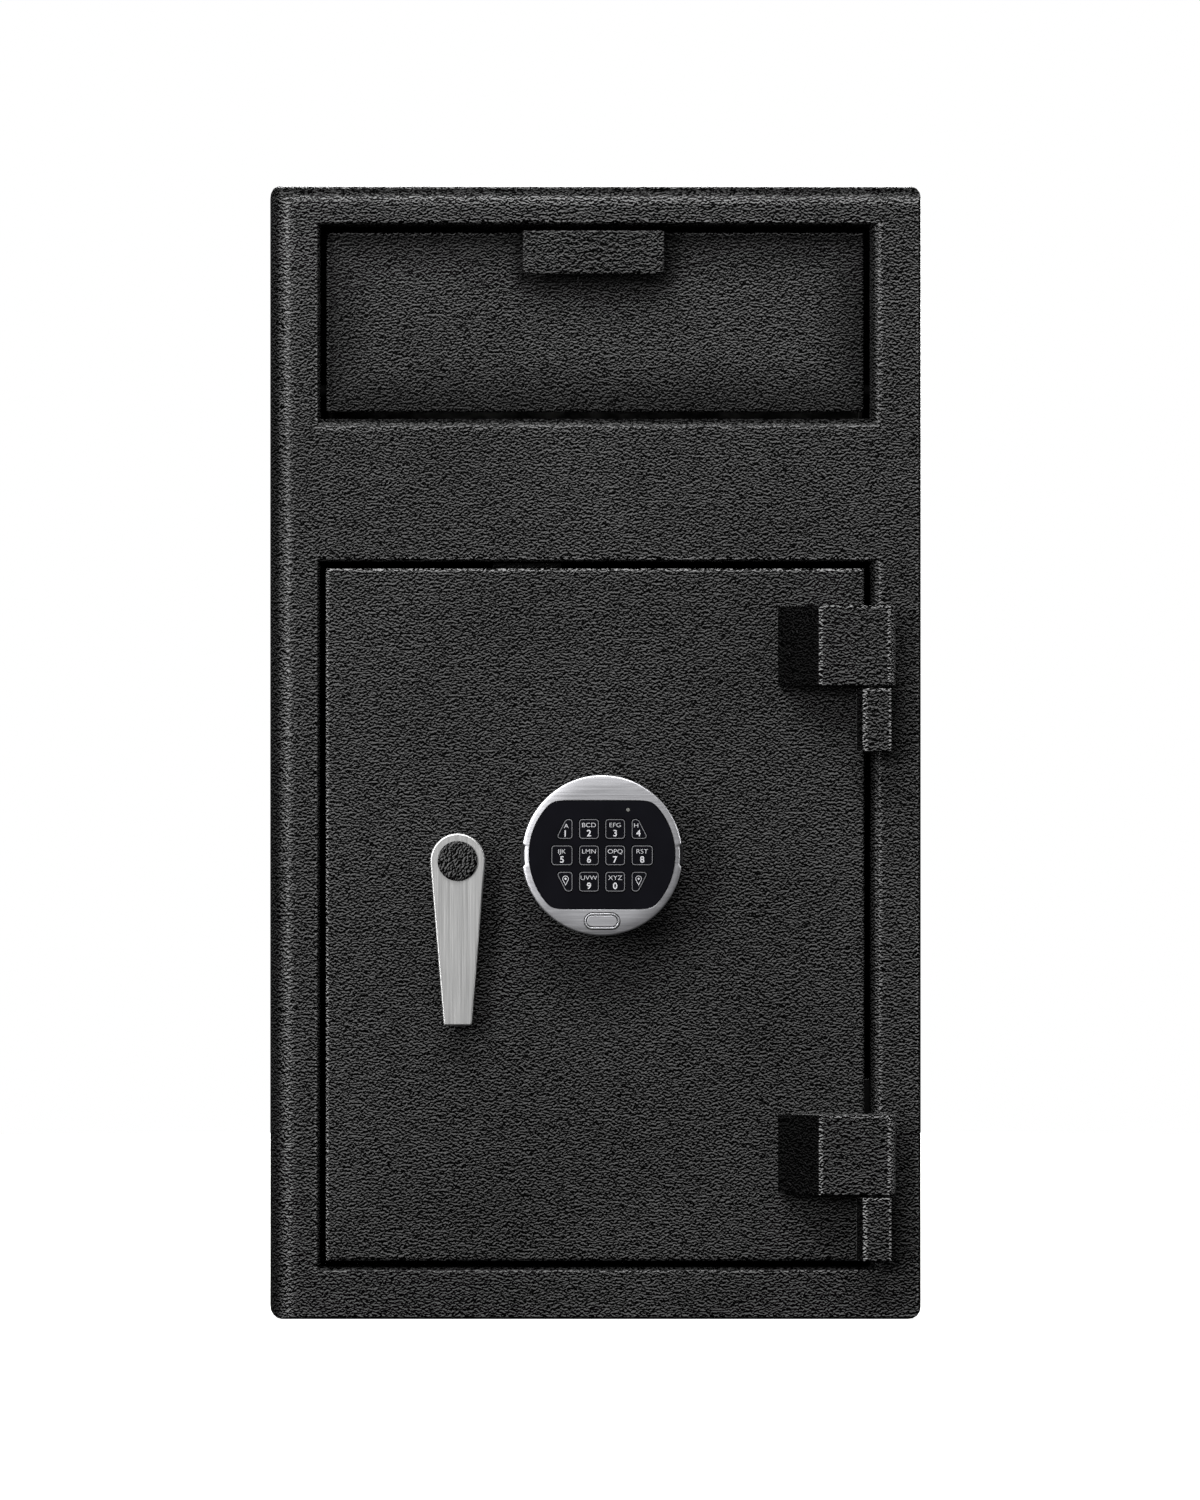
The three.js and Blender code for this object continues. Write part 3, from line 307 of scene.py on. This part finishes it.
class Surface:
    """A Principled material and short ways to add what varies over its surface."""

    def __init__(self, name, colour, roughness, metallic=0.0, **sockets):
        self.material = bpy.data.materials.new(name)
        self.material.use_nodes = True
        self.nodes = self.material.node_tree.nodes
        self.links = self.material.node_tree.links
        self.shader = self.nodes["Principled BSDF"]
        self.shader.inputs["Base Color"].default_value = (*colour, 1)
        self.shader.inputs["Roughness"].default_value = roughness
        self.shader.inputs["Metallic"].default_value = metallic
        for socket, value in sockets.items():
            self.shader.inputs[socket.replace("_", " ")].default_value = value
        self.place = self.nodes.new("ShaderNodeTexCoord").outputs["Object"]
        self.normal = None

    def scaled(self, scale, shift=(0, 0, 0)):
        mapping = self.nodes.new("ShaderNodeMapping")
        mapping.inputs["Scale"].default_value = scale
        mapping.inputs["Location"].default_value = shift
        self.links.new(self.place, mapping.inputs["Vector"])
        return mapping.outputs["Vector"]

    def noise(self, scale, detail=2.0, roughness=0.5, distortion=0.0, shift=(0, 0, 0)):
        node = self.nodes.new("ShaderNodeTexNoise")
        node.inputs["Scale"].default_value = 1.0
        node.inputs["Detail"].default_value = detail
        node.inputs["Roughness"].default_value = roughness
        node.inputs["Distortion"].default_value = distortion
        self.links.new(self.scaled(scale, shift), node.inputs["Vector"])
        return node.outputs["Fac"]

    def span(self, value, low, high, to_low, to_high):
        node = self.nodes.new("ShaderNodeMapRange")
        node.inputs["From Min"].default_value = low
        node.inputs["From Max"].default_value = high
        node.inputs["To Min"].default_value = to_low
        node.inputs["To Max"].default_value = to_high
        self.links.new(value, node.inputs["Value"])
        return node.outputs["Result"]

    def math(self, operation, first, second):
        node = self.nodes.new("ShaderNodeMath")
        node.operation = operation
        for socket, value in zip(node.inputs, (first, second)):
            if isinstance(value, (int, float)):
                socket.default_value = value
            else:
                self.links.new(value, socket)
        return node.outputs["Value"]

    def colour_from(self, value, *stops):
        ramp = self.nodes.new("ShaderNodeValToRGB")
        while len(ramp.color_ramp.elements) < len(stops):
            ramp.color_ramp.elements.new(1.0)
        for element, (position, colour) in zip(ramp.color_ramp.elements, stops):
            element.position = position
            element.color = (*colour, 1)
        self.links.new(value, ramp.inputs["Fac"])
        self.links.new(ramp.outputs["Color"], self.shader.inputs["Base Color"])

    def distance_inside(self, low, high):
        """How far a point is inside a box seen from the front."""
        split = self.nodes.new("ShaderNodeSeparateXYZ")
        self.links.new(self.place, split.inputs["Vector"])
        nearest = None
        for axis in ("X", "Z"):
            i = "XYZ".index(axis)
            centre, half = (low[i] + high[i]) / 2, (high[i] - low[i]) / 2
            off = self.math("ABSOLUTE", self.math("SUBTRACT", split.outputs[axis], centre), 0)
            room = self.math("SUBTRACT", half, off)
            nearest = room if nearest is None else self.math("MINIMUM", nearest, room)
        return nearest

    def facing_front(self):
        """1 where the surface looks straight to the front, 0 where it looks to the side."""
        split = self.nodes.new("ShaderNodeSeparateXYZ")
        coordinates = self.nodes.new("ShaderNodeTexCoord")
        self.links.new(coordinates.outputs["Normal"], split.inputs["Vector"])
        return self.math("MULTIPLY", split.outputs["Y"], -1.0)

    def curve(self, value, *points):
        """A number that follows straight lines through points (position, number)."""
        ramp = self.nodes.new("ShaderNodeValToRGB")
        top = max(number for position, number in points)
        while len(ramp.color_ramp.elements) < len(points):
            ramp.color_ramp.elements.new(1.0)
        for element, (position, number) in zip(ramp.color_ramp.elements, points):
            element.position = position
            element.color = (number / top, number / top, number / top, 1)
        self.links.new(value, ramp.inputs["Fac"])
        return self.math("MULTIPLY", ramp.outputs["Color"], top)

    def scale_colour(self, factor):
        """Makes the colour that is already linked darker or lighter."""
        socket = self.shader.inputs["Base Color"]
        scale = self.nodes.new("ShaderNodeVectorMath")
        scale.operation = "SCALE"
        self.links.new(socket.links[0].from_socket, scale.inputs[0])
        self.links.new(factor, scale.inputs["Scale"])
        self.links.new(scale.outputs["Vector"], socket)

    def roughness_from(self, value):
        self.links.new(value, self.shader.inputs["Roughness"])

    def bump(self, height, distance):
        node = self.nodes.new("ShaderNodeBump")
        node.inputs["Distance"].default_value = distance
        node.inputs["Strength"].default_value = 1.0
        self.links.new(height, node.inputs["Height"])
        if self.normal is not None:
            self.links.new(self.normal, node.inputs["Normal"])
        self.normal = node.outputs["Normal"]
        self.links.new(self.normal, self.shader.inputs["Normal"])


def textured_paint(name, turn=0.0, tone=1.0, recess=None, rim=None, bend_light=False, shades=()):
    """Black powder coat with a wrinkled texture: short wavy ridges, with painted light on their upper sides
    and painted shade on their lower sides, as from a lamp above.

    The recess box darkens the paint towards its edges as painted shade, the rim box lightens it along its
    edges as a painted highlight, and each of the shades boxes darkens it round the box as a painted shadow;
    all are boxes (low, high) on the object. The option for rounded edges gives them painted highlight and
    shade by how they face.
    """
    s = Surface(name, (0.02, 0.02, 0.02), 0.3, Specular_IOR_Level=0.07)
    if turn:
        mapping = s.nodes.new("ShaderNodeMapping")
        mapping.inputs["Rotation"].default_value = (0, turn, 0)
        s.links.new(s.place, mapping.inputs["Vector"])
        s.place = mapping.outputs["Vector"]
    ridge = dict(detail=0.4, roughness=0.5, distortion=0.5)
    ridges = s.noise(RIDGE_SCALE, **ridge)
    above = s.noise(RIDGE_SCALE, shift=RIDGE_LIFT, **ridge)
    s.bump(s.span(ridges, 0.3, 0.7, 0, 1), 0.0002)
    clouds = s.noise((9, 9, 9), detail=2.0)
    # painted light: paler on the side of a ridge that faces up, darker on the side that faces down
    painted_top_light = s.span(s.math("SUBTRACT", ridges, above), -0.074, 0.074, 0, 0.94)
    shade = s.math("ADD", painted_top_light, s.span(clouds, 0.3, 0.7, 0.0, 0.06))
    s.colour_from(shade, *((at, (grey * tone,) * 3) for at, grey in PAINT_GREYS))
    # painted highlight and shade: rounded edges darker where they turn to the side, lighter where they turn
    # only a little
    if bend_light:
        s.scale_colour(s.curve(s.facing_front(), *BEND_LIGHT_TONES))
    # painted shade: darker towards the edges of the recess box, where the recess walls would shade it
    if recess:
        s.scale_colour(s.span(s.distance_inside(*recess), 0, RECESS_SHADE_DEPTH, RECESS_SHADE_TONE, 1.0))
    # painted highlight: paler just inside the edges of the rim box
    if rim:
        s.scale_colour(s.span(s.distance_inside(*rim), HIGHLIGHT_FROM, HIGHLIGHT_TO, HIGHLIGHT_TONE, 1.0))
    # painted shadow: darker round and under each box in shades
    for low, high in shades:
        s.scale_colour(s.span(s.distance_inside(low, high), -SHADE_REACH, 0, 1.0, SHADE_TONE))
    s.roughness_from(s.span(ridges, 0.3, 0.7, 0.28, 0.2))
    return s.material


def shade_left_faces(piece):
    """The faces of a hinge block that look to the left take the very dark inner paint, as painted shade."""
    piece.data.materials.append(SHADED_INNER_PAINT)
    for face in piece.data.polygons:
        face.material_index = 1 if face.normal.x < -0.3 and face.normal.y < -0.05 else 0


def edge_highlight_paint(node, left=0.0, right=0.0, bottom=0.0, top=0.0, **more):
    """Paint with a painted highlight, paler along the front edges of a node.

    Each edge is moved outwards by its length: far enough and it has no painted highlight, and a negative
    one widens it.
    """
    low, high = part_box(node)
    grown = (low - Vector((left, 0, bottom)), high + Vector((right, 0, top)))
    return textured_paint(f"{node}_paint", rim=grown, **more)


def brushed(name, colour, roughness, grain, depth=0.00004, spread=0.1):
    """Metal with fine lines along the axis whose grain value is lowest."""
    s = Surface(name, colour, roughness, 1.0)
    lines = s.noise(grain, detail=3.0, roughness=0.6)
    clouds = s.noise((35, 35, 35), detail=3.0)
    dark = tuple(c * 0.86 for c in colour)
    light = tuple(min(1, c * 1.1) for c in colour)
    shade = s.math("ADD", s.span(lines, 0.3, 0.7, 0, 0.8), s.span(clouds, 0.3, 0.7, 0, 0.2))
    s.colour_from(shade, (0.0, dark), (1.0, light))
    s.roughness_from(s.span(lines, 0.3, 0.7, roughness - spread, roughness + spread))
    s.bump(lines, depth)
    return s.material


def plastic(name, colour, roughness, grain=1400, depth=0.00002, specular=0.5):
    s = Surface(name, colour, roughness, Specular_IOR_Level=specular)
    grit = s.noise((grain, grain, grain), detail=2.0)
    clouds = s.noise((60, 60, 60), detail=2.0)
    s.colour_from(clouds, (0.2, tuple(c * 0.8 for c in colour)), (0.8, tuple(c * 1.2 for c in colour)))
    s.roughness_from(s.span(grit, 0.3, 0.7, roughness * 0.8, roughness * 1.2))
    s.bump(grit, depth)
    return s.material


def zinc_plate():
    """Passivated zinc on sheet steel: a faint mottled sheen."""
    s = Surface("zinc_plate", (0.5, 0.51, 0.5), 0.4, 1.0)
    mottle = s.noise((90, 90, 90), detail=4.0, roughness=0.65, distortion=0.6)
    dull, plain, bright = (0.33, 0.335, 0.325), (0.5, 0.505, 0.49), (0.58, 0.57, 0.53)
    s.colour_from(mottle, (0.25, dull), (0.6, plain), (0.85, bright))
    s.roughness_from(s.span(mottle, 0.3, 0.7, 0.32, 0.52))
    s.bump(s.noise((900, 900, 900)), 0.00002)
    return s.material


PAINT = textured_paint("textured_paint")
CAP_PAINT = textured_paint("cap_paint", turn=math.radians(55))
# very dark paint: the safe's black inner parts, made darker so the gaps round the door and hopper read as
# shade, and painted shade on the left-facing faces of the hinge blocks
SHADED_INNER_PAINT = textured_paint("shaded_inner_paint", tone=0.12)
LEVER = brushed("brushed_lever", (0.58, 0.58, 0.575), 0.42, (2600, 2600, 22), 0.00001, spread=0.07)
CHROME = brushed("satin_chrome", (0.6, 0.6, 0.625), 0.38, (30, 900, 1800), 0.000004, spread=0.04)
STEEL = brushed("machined_steel", (0.5, 0.5, 0.49), 0.3, (45, 1800, 1800), spread=0.08)
ZINC = zinc_plate()
CAST = brushed("die_cast", (0.42, 0.42, 0.41), 0.5, (700, 700, 700), spread=0.08)
PLASTIC = plastic("black_plastic", (0.012, 0.012, 0.013), 0.5, specular=0.2)
GLOSS = plastic("gloss_face", (0.003, 0.003, 0.0045), 0.12, grain=500, depth=0.000004, specular=0.08)
KEYS = plastic("key_plastic", (0.003, 0.003, 0.0045), 0.2, grain=700, depth=0.000006, specular=0.08)
PRINT = plastic("legend_print", (0.5, 0.5, 0.52), 0.5)
BORDER = plastic("border_print", (0.16, 0.16, 0.17), 0.5)
BLACKED = brushed("blacked_steel", (0.03, 0.03, 0.03), 0.4, (900, 900, 900), spread=0.05)
BUSH = plastic("dark_bush", (0.003, 0.003, 0.003), 0.8, specular=0.02)
LED = plastic("led_lens", (0.12, 0.12, 0.115), 0.2)


# ---------- Body ----------

def finish_body():
    # painted shadow on the frame round each hinge knuckle
    knuckles = [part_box(f"hinge_knuckle_{side}") for side in ("upper", "lower")]
    # the front frame's rounded edges carry painted highlight and shade
    refine("front_frame", textured_paint("frame_bend_light_paint", bend_light=True, shades=knuckles), edge=0.0005)
    for node in ("body_wrap", "back_panel"):
        refine(node, PAINT, edge=0.0005)
    refine("door_stop", SHADED_INNER_PAINT, edge=0.0005)
    for side in ("upper", "lower"):
        knuckle = f"hinge_knuckle_{side}"
        # painted highlight along the knuckle's top, left and right edges, and painted shade on its
        # left-facing faces
        paint = edge_highlight_paint(knuckle, left=-4.7 * MM, bottom=NO_HIGHLIGHT)
        shade_left_faces(refine(knuckle, paint, edge=0.0014, segments=3))
        refine(f"hinge_washer_{side}", SHADED_INNER_PAINT, edge=0.0002)
        refine(f"hinge_pin_{side}", BLACKED, edge=0.0006)
    for node in ("hopper_cheek_left", "hopper_cheek_right", "hopper_rear_baffle", "chute_floor"):
        refine(node, SHADED_INNER_PAINT, edge=0.0003)
    for side in ("left", "right"):
        refine(f"hopper_pivot_{side}", BUSH, edge=0.0003)
    weld_body_seams()


def seam_weld(name, y0, y1, outer, inner):
    """A weld ground nearly flush along the seam between two shells."""
    outlines = [grown_box(BODY_LOW, BODY_HIGH, grow, BODY_CORNER) for grow in (outer, inner)]
    bm = bmesh.new()
    add_band(bm, *outlines, y0, y1)
    attach(bevel(object_from(bm, name, PAINT), 0.00003, 1), "safe_body")


def weld_body_seams():
    front, back = BODY_LOW.y, BODY_HIGH.y
    seam_weld("front_seam", front - 1.2 * MM, front + 0.8 * MM, 0.06 * MM, -0.8 * MM)
    seam_weld("back_seam", back - 0.8 * MM, back + 0.06 * MM, -2.2 * MM, -4.2 * MM)


# ---------- Hopper ----------

def finish_hopper():
    low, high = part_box("hopper_handle")
    # painted shadow under the pull tab, reaching a little further below it
    under_tab = (low - Vector((0, 0, 3 * MM)), high)
    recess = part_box("hopper_front")
    # the hopper plate carries a painted highlight along its top and left edges, painted shade towards its
    # edges in the recess, and a painted shadow under the pull tab
    paint = edge_highlight_paint("hopper_front", right=NO_HIGHLIGHT, bottom=NO_HIGHLIGHT, recess=recess, shades=[under_tab])
    refine("hopper_front", paint, edge=0.0012, segments=4)
    # painted shade: the pull tab's paint is a little darker than the plate's, for how light falls on it
    refine("hopper_handle", textured_paint("shaded_tab_paint", tone=0.85), edge=0.001, segments=3)
    for node in ("hopper_tray", "hopper_side_left", "hopper_side_right"):
        refine(node, ZINC, edge=0.0003)


# ---------- Door ----------

def finish_door():
    # painted shadow on the door plate round each hinge leaf, kept off its left and top sides
    under_leaves = []
    for side in ("upper", "lower"):
        low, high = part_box(f"hinge_leaf_{side}")
        under_leaves.append((low + Vector((SHADE_REACH, 0, 0)), high - Vector((0, 0, SHADE_REACH))))
    # painted highlight along the door plate's top and left edges
    paint = edge_highlight_paint("door_plate", right=NO_HIGHLIGHT, bottom=NO_HIGHLIGHT, shades=under_leaves)
    refine("door_plate", paint, edge=0.0016, segments=4)
    for side in ("upper", "lower"):
        leaf = f"hinge_leaf_{side}"
        # painted highlight along the leaf's top and right edges and where its slope meets its front, and
        # painted shade on its left-facing faces
        paint = edge_highlight_paint(leaf, left=-24.2 * MM, right=-3.4 * MM, bottom=NO_HIGHLIGHT)
        shade_left_faces(refine(leaf, paint, edge=0.0015, segments=3))
        refine(f"dead_bolt_{side}", BLACKED, edge=0.001, segments=3)
    refine("bolt_guide_outer", ZINC)
    refine("bolt_guide_inner", ZINC)
    refine("hard_plate", STEEL)
    refine("lock_case", CAST, edge=0.0012, segments=3)
    refine("lock_cover", ZINC, edge=0.0006)
    refine("lock_bolt", STEEL, edge=0.0008)
    refine("lock_solenoid", STEEL)
    refine("handle_bushing", STEEL)
    refine("battery", PLASTIC)
    refine("keypad_cable", PLASTIC, edge=0)
    refine("bolt_carriage", ZINC)
    for side in ("upper", "middle", "lower"):
        refine(f"live_bolt_{side}", STEEL, edge=0.0015, segments=3)
    fasten_door()


def screws(name, spots, radius=0.0035):
    bm = bmesh.new()
    for spot in spots:
        add_screw(bm, spot, radius)
    attach(object_from(bm, name, STEEL), "door")


def spaced(low, high, count, margin):
    """Even places between two ends, each a margin in from its end."""
    return [low + margin + (high - low - 2 * margin) * k / (count - 1) for k in range(count)]


def fasten_door():
    """Screws on the back of the door."""
    low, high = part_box("lock_cover")
    across, upwards = spaced(low.x, high.x, 2, 5 * MM), spaced(low.z, high.z, 2, 5 * MM)
    screws("lock_screws", [(x, high.y, z) for x in across for z in upwards])
    for side, inward in (("outer", 1), ("inner", -1)):
        low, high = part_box(f"bolt_guide_{side}")
        x = (high.x - 6 * MM) if inward > 0 else (low.x + 5 * MM)
        spots = [(x, low.y + GUIDE_FOOT, z) for z in spaced(low.z, high.z, 6, 14 * MM)]
        screws(f"guide_screws_{side}", spots, 0.003)
    for side in ("upper", "lower"):
        low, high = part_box(f"dead_bolt_{side}")
        spots = [(low.x + 24 * MM, high.y, z) for z in spaced(low.z, high.z, 2, 12 * MM)]
        screws(f"dead_bolt_screws_{side}", spots, 0.0045)


# ---------- Handle ----------

def finish_handle():
    refine("lever_handle", LEVER, edge=0.0009, segments=3)
    refine("handle_cap", CAP_PAINT, edge=0.0003)
    refine("handle_spindle", STEEL)


# ---------- Keypad ----------

def on_keypad(points):
    """Points in millimetres from the keypad's centre, seen from the front."""
    return [(KEYPAD_X + x * MM, KEYPAD_Z + z * MM) for x, z in points]


def front_outline(node):
    """The convex outline of a node's front face, anticlockwise in X and Z, and the face's Y."""
    corners = [v.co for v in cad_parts[node].data.vertices]
    front = min(c.y for c in corners)
    flat = [(c.x, c.z) for c in corners if c.y < front + 0.00005]
    order = geometry.convex_hull_2d(flat)
    loop = []
    for point in (Vector(flat[i]) for i in order):
        if not loop or (point - loop[-1]).length > 0.00005:
            loop.append(point)
    return loop, front


def inset(loop, distance):
    """A convex anticlockwise outline drawn in by a distance."""
    moved = []
    for i, point in enumerate(loop):
        before = (point - loop[i - 1]).normalized()
        after = (loop[(i + 1) % len(loop)] - point).normalized()
        inward = Vector((-(before.y + after.y), before.x + after.x)).normalized()
        lean = inward.dot(Vector((-after.y, after.x)))
        moved.append(point + inward * distance / max(lean, 0.5))
    return moved


def add_text(bm, words, x, z, height, y, weight=0.0, stretch=1.0):
    """Raised print facing the front, centred on (x, z), with capitals of the given height."""
    curve = bpy.data.curves.new("words", "FONT")
    curve.body = words
    curve.extrude = 0.5
    curve.offset = weight
    text = bpy.data.objects.new("words", curve)
    mesh = bpy.data.meshes.new_from_object(text)
    across = [v.co.x for v in mesh.vertices]
    middle = Vector(((min(across) + max(across)) / 2, CAPITAL_HEIGHT / 2, 0))
    scale = height / CAPITAL_HEIGHT
    turn = Matrix.Rotation(math.radians(90), 4, "X")
    size = Matrix.Diagonal((scale * stretch, scale, PRINT_THICKNESS, 1))
    mesh.transform(Matrix.Translation((x, y, z)) @ turn @ size @ Matrix.Translation(-middle))
    bm.from_mesh(mesh)
    bpy.data.objects.remove(text)
    bpy.data.curves.remove(curve)
    bpy.data.meshes.remove(mesh)


def teardrop(x, z, radius, tail, steps=14):
    """A drop with its point downwards."""
    spread = math.degrees(math.acos(radius / tail))
    round_part = arc((x, z), radius, -90 + spread, 270 - spread, steps)
    return round_part + [(x, z - tail)]


def key_print(key):
    """The printed border and legend of one key."""
    node = f"key_{key}"
    loop, front = front_outline(node)
    y0, y1 = front - 0.00005, front + 0.0001
    bm = bmesh.new()
    add_band(bm, inset(loop, 0.0001), inset(loop, 0.00042), y0, y1)
    attach(object_from(bm, f"border_{node}", BORDER, smooth=False), node)
    bm = bmesh.new()
    if key in PIN_AT:
        (x, z), = on_keypad([PIN_AT[key]])
        outer, inner = teardrop(x, z, 1.8 * MM, 3.9 * MM), teardrop(x, z, 1.5 * MM, 3.25 * MM)
        add_band(bm, outer, inner, y0, y1)
        add_band(bm, arc((x, z), 0.6 * MM, 0, 330, 11), arc((x, z), 0.1 * MM, 0, 330, 11), y0, y1)
    else:
        low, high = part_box(node)
        x, z = (low.x + high.x) / 2, (low.z + high.z) / 2
        letters, digit = (x, z + LETTER_RISE * MM), (x, z - DIGIT_DROP * MM)
        if key in CORNER_PRINT:
            letters, digit = on_keypad(CORNER_PRINT[key])
        add_text(bm, KEY_LETTERS[key], *letters, LETTER_HEIGHT * MM, y0, weight=-0.012, stretch=1.15)
        add_text(bm, key, *digit, DIGIT_HEIGHT * MM, y0, weight=0.015)
    attach(object_from(bm, f"print_{node}", PRINT, smooth=False), node)


def opening_radius(angle, low, high):
    """How far the bezel's opening reaches: a disc cut flat above and below, with eased corners."""
    disc = high.x
    rise = abs(math.sin(angle)) / (high.y if math.sin(angle) > 0 else -low.y)
    return (disc ** -OPENING_EASE + rise ** OPENING_EASE) ** (-1 / OPENING_EASE)


def make_bezel():
    """Satin ring: a straight skirt, a narrow rounded rim and a gently domed front, notched at each side."""
    face_low, face_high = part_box("keypad_face")
    gap = 0.25 * MM
    rounding = 1.0 * MM
    shoulder = 1.6 * MM  # from the front to where the rounding and skirt meet
    dome_start, dome_height = 38 * MM, 0.55 * MM
    low = Vector((face_low.x - KEYPAD_X - gap, face_low.z - KEYPAD_Z - gap))
    high = Vector((face_high.x - KEYPAD_X + gap, face_high.z - KEYPAD_Z + gap))
    front, back = BEZEL_LOW.y, BEZEL_HIGH.y
    bm = bmesh.new()
    rows = []
    steps = 480
    for k in range(steps):
        angle = 2 * math.pi * k / steps
        opening = opening_radius(angle, low, high)
        off_axis = abs(KEYPAD_R * math.sin(angle))
        rim = KEYPAD_R - NOTCH_DEPTH * min(1, max(0, (NOTCH_HALF - off_axis) / NOTCH_SLANT))
        profile = [(rim - 2.5 * MM, back), (rim, back), (rim, front + shoulder)]
        profile += [(rim - (1 - c) * rounding, front + shoulder - r * rounding)
                    for c, r in arc((0, 0), 1, 22.5, 90, 3)]
        inner = rim - rounding
        for step in range(1, 7):
            radius = inner + (opening + 0.3 * MM - inner) * step / 6
            dome = max(0, min(1, (radius - dome_start) / (inner - dome_start)))
            profile.append((radius, front + dome_height * dome ** 2))
        edge = profile[-1][1]
        profile += [(opening, edge + 0.3 * MM), (opening, front + 2.4 * MM)]
        across, up = math.cos(angle), math.sin(angle)
        rows.append([bm.verts.new((KEYPAD_X + r * across, y, KEYPAD_Z + r * up)) for r, y in profile])
    for one, two in zip(rows, rows[1:] + rows[:1]):
        for k in range(len(one)):
            n = (k + 1) % len(one)
            bm.faces.new((one[k], two[k], two[n], one[n]))
    bezel = object_from(bm, "bezel_ring", CHROME)
    attach(bezel, "door", "keypad_bezel")


def pill(x, z, half_width, half_height, steps=12):
    """An outline with round ends, in X and Z."""
    straight = half_width - half_height
    return (arc((x + straight, z), half_height, -90, 90, steps)
            + arc((x - straight, z), half_height, 90, 270, steps))


def make_badge():
    """A blank pill: a raised rim between two fine grooves, round a satin field."""
    low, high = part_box("keypad_badge")
    x, z = (low.x + high.x) / 2, (low.z + high.z) / 2
    ring_front = BEZEL_LOW.y
    bed = prism_y("badge_bed", pill(x, z, 10.7 * MM, 5.1 * MM), ring_front - 0.05 * MM, high.y, BLACKED)
    outer, inner = pill(x, z, 10.1 * MM, 4.5 * MM), pill(x, z, 9.3 * MM, 3.7 * MM)
    bm = bmesh.new()
    add_band(bm, outer, inner, ring_front - 0.6 * MM, high.y)
    rim = bevel(object_from(bm, "badge_rim", CHROME), 0.0002, 2)
    field = prism_y("badge_field", pill(x, z, 8.7 * MM, 3.1 * MM), ring_front - 0.3 * MM, high.y, CHROME)
    bevel(field, 0.0002, 2)
    for piece in (bed, rim, field):
        attach(piece, "door", "keypad_badge")


def make_side_tabs():
    """Black release tabs standing in the bezel's notches."""
    for side, sign in (("left", -1), ("right", 1)):
        inner, outer = KEYPAD_R - 3 * MM, KEYPAD_R + 0.5 * MM
        half = NOTCH_HALF - NOTCH_SLANT
        x0, x1 = sorted((KEYPAD_X + sign * inner, KEYPAD_X + sign * outer))
        z0, z1 = KEYPAD_Z - half, KEYPAD_Z + half
        front, back = BEZEL_LOW.y + 4.5 * MM, BEZEL_HIGH.y - 1 * MM
        tab = prism_y(f"release_tab_{side}", [(x0, z0), (x1, z0), (x1, z1), (x0, z1)], front, back, PLASTIC)
        bevel(tab, 0.0006, 3)
        attach(tab, "door")


def finish_keypad():
    refine("keypad_base", PLASTIC, edge=0.0005)
    make_bezel()
    make_badge()
    make_side_tabs()
    refine("keypad_face", GLOSS, edge=0.0001)
    refine("led_lens", LED, edge=0.0002)
    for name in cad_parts:
        if name.startswith("key_"):
            refine(name, KEYS, edge=0.0002)
            key_print(name[len("key_"):])


make_camera()
make_world()
make_stage()
make_lights()
bpy.context.scene.view_settings.view_transform = "Standard"
finish_body()
finish_hopper()
finish_door()
finish_handle()
finish_keypad()
